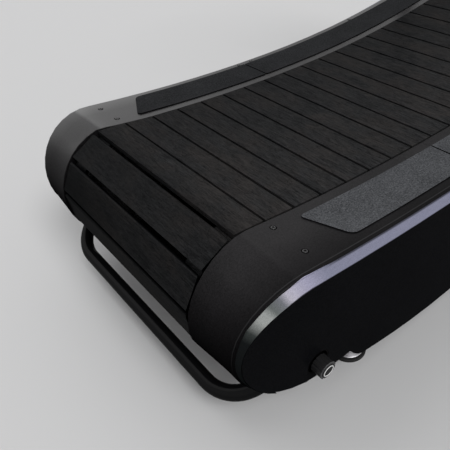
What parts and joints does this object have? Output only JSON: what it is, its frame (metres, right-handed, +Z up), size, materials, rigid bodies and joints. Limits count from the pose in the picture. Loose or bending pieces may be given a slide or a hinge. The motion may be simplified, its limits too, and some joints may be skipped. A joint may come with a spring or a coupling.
{
  "type": "curved manual treadmill",
  "caption": "Curved treadmill without a motor: a slatted running belt on a dished path, side covers with grip pads, rear lifting handle, hand rails, console and a turning resistance knob.",
  "frame": {"origin": "on the floor, under the middle of the overall box", "axes": "+X forward to the console, +Y to the runner's left, +Z up"},
  "size_m": [1.7205, 0.836, 1.1805],
  "materials": {
    "charcoal_slat": "matt, wood-like grain",
    "black_shell": "satin",
    "rough_pad": "rough speckled",
    "black_panel": "satin",
    "silver_trim": "metallic speckled",
    "frame_paint": "satin",
    "black_paint": "gloss",
    "steel": "satin",
    "rubber": "matt",
    "cast_pulley": "painted",
    "roller_plastic": "matt",
    "brake_disc_metal": "turned",
    "display_window": "gloss",
    "button_plastic": "satin",
    "knob_plastic": "satin"
  },
  "bodies": {
    "frame": {"base_rail_left": "frame_paint", "base_rail_right": "frame_paint", "console_display": "display_window", "console_housing": "black_shell", "cover_front_left": "black_shell", "cover_front_right": "black_shell", "cover_rear_left": "black_shell", "cover_rear_right": "black_shell", "cross_bar": "black_paint", "cross_tube_front": "frame_paint", "cross_tube_middle": "frame_paint", "cross_tube_rear": "frame_paint", "front_bearing_left": "cast_pulley", "front_bearing_right": "cast_pulley", "grip_pad_front_left": "rough_pad", "grip_pad_front_right": "rough_pad", "grip_pad_rear_left": "rough_pad", "grip_pad_rear_right": "rough_pad", "hand_grip_left": "rubber", "hand_grip_right": "rubber", "knob_seat": "black_shell", "levelling_foot_front_left": "steel", "levelling_foot_front_right": "steel", "levelling_foot_rear_left": "steel", "levelling_foot_rear_right": "steel", "rear_bearing_left": "cast_pulley", "rear_bearing_right": "cast_pulley", "rear_handle": "black_paint", "running_belt": "charcoal_slat", "side_panel_left": "black_panel", "side_panel_right": "black_panel", "side_plate_left": "frame_paint", "side_plate_right": "frame_paint", "trim_left": "silver_trim", "trim_right": "silver_trim", "upright_left": "black_paint", "upright_right": "black_paint"},
    "rear_drum": {"rear_axle": "steel", "rear_pulley_left": "cast_pulley", "rear_pulley_right": "cast_pulley", "brake_disc": "brake_disc_metal"},
    "front_drum": {"front_axle": "steel", "front_pulley_left": "cast_pulley", "front_pulley_right": "cast_pulley"},
    "magnets": {"magnet_carrier": "frame_paint"},
    "knob": {"resistance_knob": "knob_plastic"},
    "wheel_left": {"transport_wheel_left": "rubber"},
    "wheel_right": {"transport_wheel_right": "rubber"},
    "button_start": {"start_button": "button_plastic"},
    "button_mode": {"mode_button": "button_plastic"},
    "button_stop": {"stop_button": "button_plastic"},
    "roller_1_left": {"guide_roller_1_left": "roller_plastic"},
    "roller_1_right": {"guide_roller_1_right": "roller_plastic"},
    "roller_2_left": {"guide_roller_2_left": "roller_plastic"},
    "roller_2_right": {"guide_roller_2_right": "roller_plastic"},
    "roller_3_left": {"guide_roller_3_left": "roller_plastic"},
    "roller_3_right": {"guide_roller_3_right": "roller_plastic"},
    "roller_4_left": {"guide_roller_4_left": "roller_plastic"},
    "roller_4_right": {"guide_roller_4_right": "roller_plastic"}
  },
  "joints": [
    {"name": "rear_drum_spin", "type": "hinge", "parent": "frame", "child": "rear_drum", "pos_m": [-0.735, 0, 0.253], "axis": [0, 1, 0], "continuous": true},
    {"name": "front_drum_spin", "type": "hinge", "parent": "frame", "child": "front_drum", "pos_m": [0.735, 0, 0.328], "axis": [0, 1, 0], "continuous": true},
    {"name": "roller_1_left_spin", "type": "hinge", "parent": "frame", "child": "roller_1_left", "pos_m": [-0.46684, 0.19, 0.31103], "axis": [0, 1, 0], "continuous": true},
    {"name": "roller_1_right_spin", "type": "hinge", "parent": "frame", "child": "roller_1_right", "pos_m": [-0.46684, -0.19, 0.31103], "axis": [0, 1, 0], "continuous": true},
    {"name": "roller_2_left_spin", "type": "hinge", "parent": "frame", "child": "roller_2_left", "pos_m": [-0.16517, 0.19, 0.2993], "axis": [0, 1, 0], "continuous": true},
    {"name": "roller_2_right_spin", "type": "hinge", "parent": "frame", "child": "roller_2_right", "pos_m": [-0.16517, -0.19, 0.2993], "axis": [0, 1, 0], "continuous": true},
    {"name": "roller_3_left_spin", "type": "hinge", "parent": "frame", "child": "roller_3_left", "pos_m": [0.13712, 0.19, 0.3104], "axis": [0, 1, 0], "continuous": true},
    {"name": "roller_3_right_spin", "type": "hinge", "parent": "frame", "child": "roller_3_right", "pos_m": [0.13712, -0.19, 0.3104], "axis": [0, 1, 0], "continuous": true},
    {"name": "roller_4_left_spin", "type": "hinge", "parent": "frame", "child": "roller_4_left", "pos_m": [0.43948, 0.19, 0.34943], "axis": [0, 1, 0], "continuous": true},
    {"name": "roller_4_right_spin", "type": "hinge", "parent": "frame", "child": "roller_4_right", "pos_m": [0.43948, -0.19, 0.34943], "axis": [0, 1, 0], "continuous": true},
    {"name": "wheel_left_spin", "type": "hinge", "parent": "frame", "child": "wheel_left", "pos_m": [0.78, 0.309, 0.041], "axis": [0, 1, 0], "continuous": true},
    {"name": "wheel_right_spin", "type": "hinge", "parent": "frame", "child": "wheel_right", "pos_m": [0.78, -0.309, 0.041], "axis": [0, 1, 0], "continuous": true},
    {"name": "magnet_swing", "type": "hinge", "parent": "frame", "child": "magnets", "pos_m": [-0.615, -0.265, 0.283], "axis": [0, 1, 0], "range_deg": [0, 12]},
    {"name": "knob_turn", "type": "hinge", "parent": "frame", "child": "knob", "pos_m": [-0.706, -0.36, 0.1625], "axis": [0, 1, 0], "range_deg": [0, 240]},
    {"name": "start_press", "type": "slide", "parent": "frame", "child": "button_start", "axis": [0.8192, 0, -0.5736], "range_m": [0, 0.0015], "stiffness_N_per_m": 400},
    {"name": "mode_press", "type": "slide", "parent": "frame", "child": "button_mode", "axis": [0.8192, 0, -0.5736], "range_m": [0, 0.0015], "stiffness_N_per_m": 400},
    {"name": "stop_press", "type": "slide", "parent": "frame", "child": "button_stop", "axis": [0.8192, 0, -0.5736], "range_m": [0, 0.0015], "stiffness_N_per_m": 400}
  ],
  "couplings": [
    {"joint": "front_drum_spin", "follows": "rear_drum_spin", "ratio": 1},
    {"joint": "roller_1_left_spin", "follows": "rear_drum_spin", "ratio": 5},
    {"joint": "roller_1_right_spin", "follows": "rear_drum_spin", "ratio": 5},
    {"joint": "roller_2_left_spin", "follows": "rear_drum_spin", "ratio": 5},
    {"joint": "roller_2_right_spin", "follows": "rear_drum_spin", "ratio": 5},
    {"joint": "roller_3_left_spin", "follows": "rear_drum_spin", "ratio": 5},
    {"joint": "roller_3_right_spin", "follows": "rear_drum_spin", "ratio": 5},
    {"joint": "roller_4_left_spin", "follows": "rear_drum_spin", "ratio": 5},
    {"joint": "roller_4_right_spin", "follows": "rear_drum_spin", "ratio": 5},
    {"joint": "knob_turn", "follows": "magnet_swing", "ratio": 20}
  ]
}
